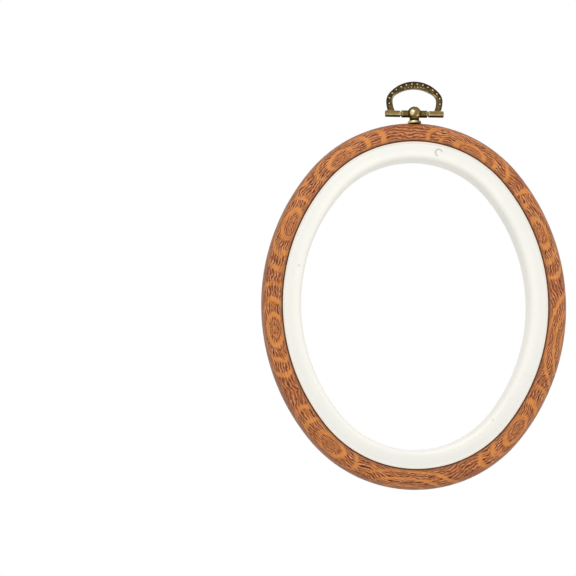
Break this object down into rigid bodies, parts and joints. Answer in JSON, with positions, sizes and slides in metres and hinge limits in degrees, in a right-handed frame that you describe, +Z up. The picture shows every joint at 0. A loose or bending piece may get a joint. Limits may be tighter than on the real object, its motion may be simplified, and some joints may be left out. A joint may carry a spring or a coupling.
{
  "type": "embroidery hoop",
  "caption": "Oval flexible embroidery hoop: soft wood-grain outer ring, rigid white inner ring and a swivelling brass hanger, for stitching and display.",
  "frame": {"origin": "hang point: underside of the bail's arch at its crown, in the middle of the hoop's depth", "axes": "+Z up along the hanger and the oval's long axis, -Y out of the front face, +X to the right as seen from the front"},
  "size_m": [0.12, 0.0101, 0.1606],
  "materials": {
    "wood_print_vinyl": "soft vinyl with a printed and lightly embossed wood grain, satin",
    "white_plastic": "moulded off-white plastic, soft gloss",
    "antique_brass": "antiqued brass, dark in the recesses and polished on the high spots",
    "dark_steel": "dull plated steel"
  },
  "bodies": {
    "bail": {"bail": "antique_brass", "hinge_pin": "dark_steel"},
    "knuckle": {"swivel_knuckle": "antique_brass", "hanger_screw": "dark_steel"},
    "outer_ring": {"outer_ring": "wood_print_vinyl", "base_flange": "antique_brass", "screw_washer": "dark_steel"},
    "inner_ring": {"inner_ring": "white_plastic"}
  },
  "joints": [
    {"name": "bail_hinge", "type": "hinge", "parent": "bail", "child": "knuckle", "pos_m": [0, 0, -0.01], "axis": [1, 0, 0], "range_deg": [-105, 105]},
    {"name": "hanger_swivel", "type": "hinge", "parent": "knuckle", "child": "outer_ring", "pos_m": [0, 0, -0.01365], "axis": [0, 0, 1], "continuous": true},
    {"name": "inner_ring_slide", "type": "slide", "parent": "outer_ring", "child": "inner_ring", "axis": [0, -1, 0], "range_m": [0, 0.015]}
  ]
}
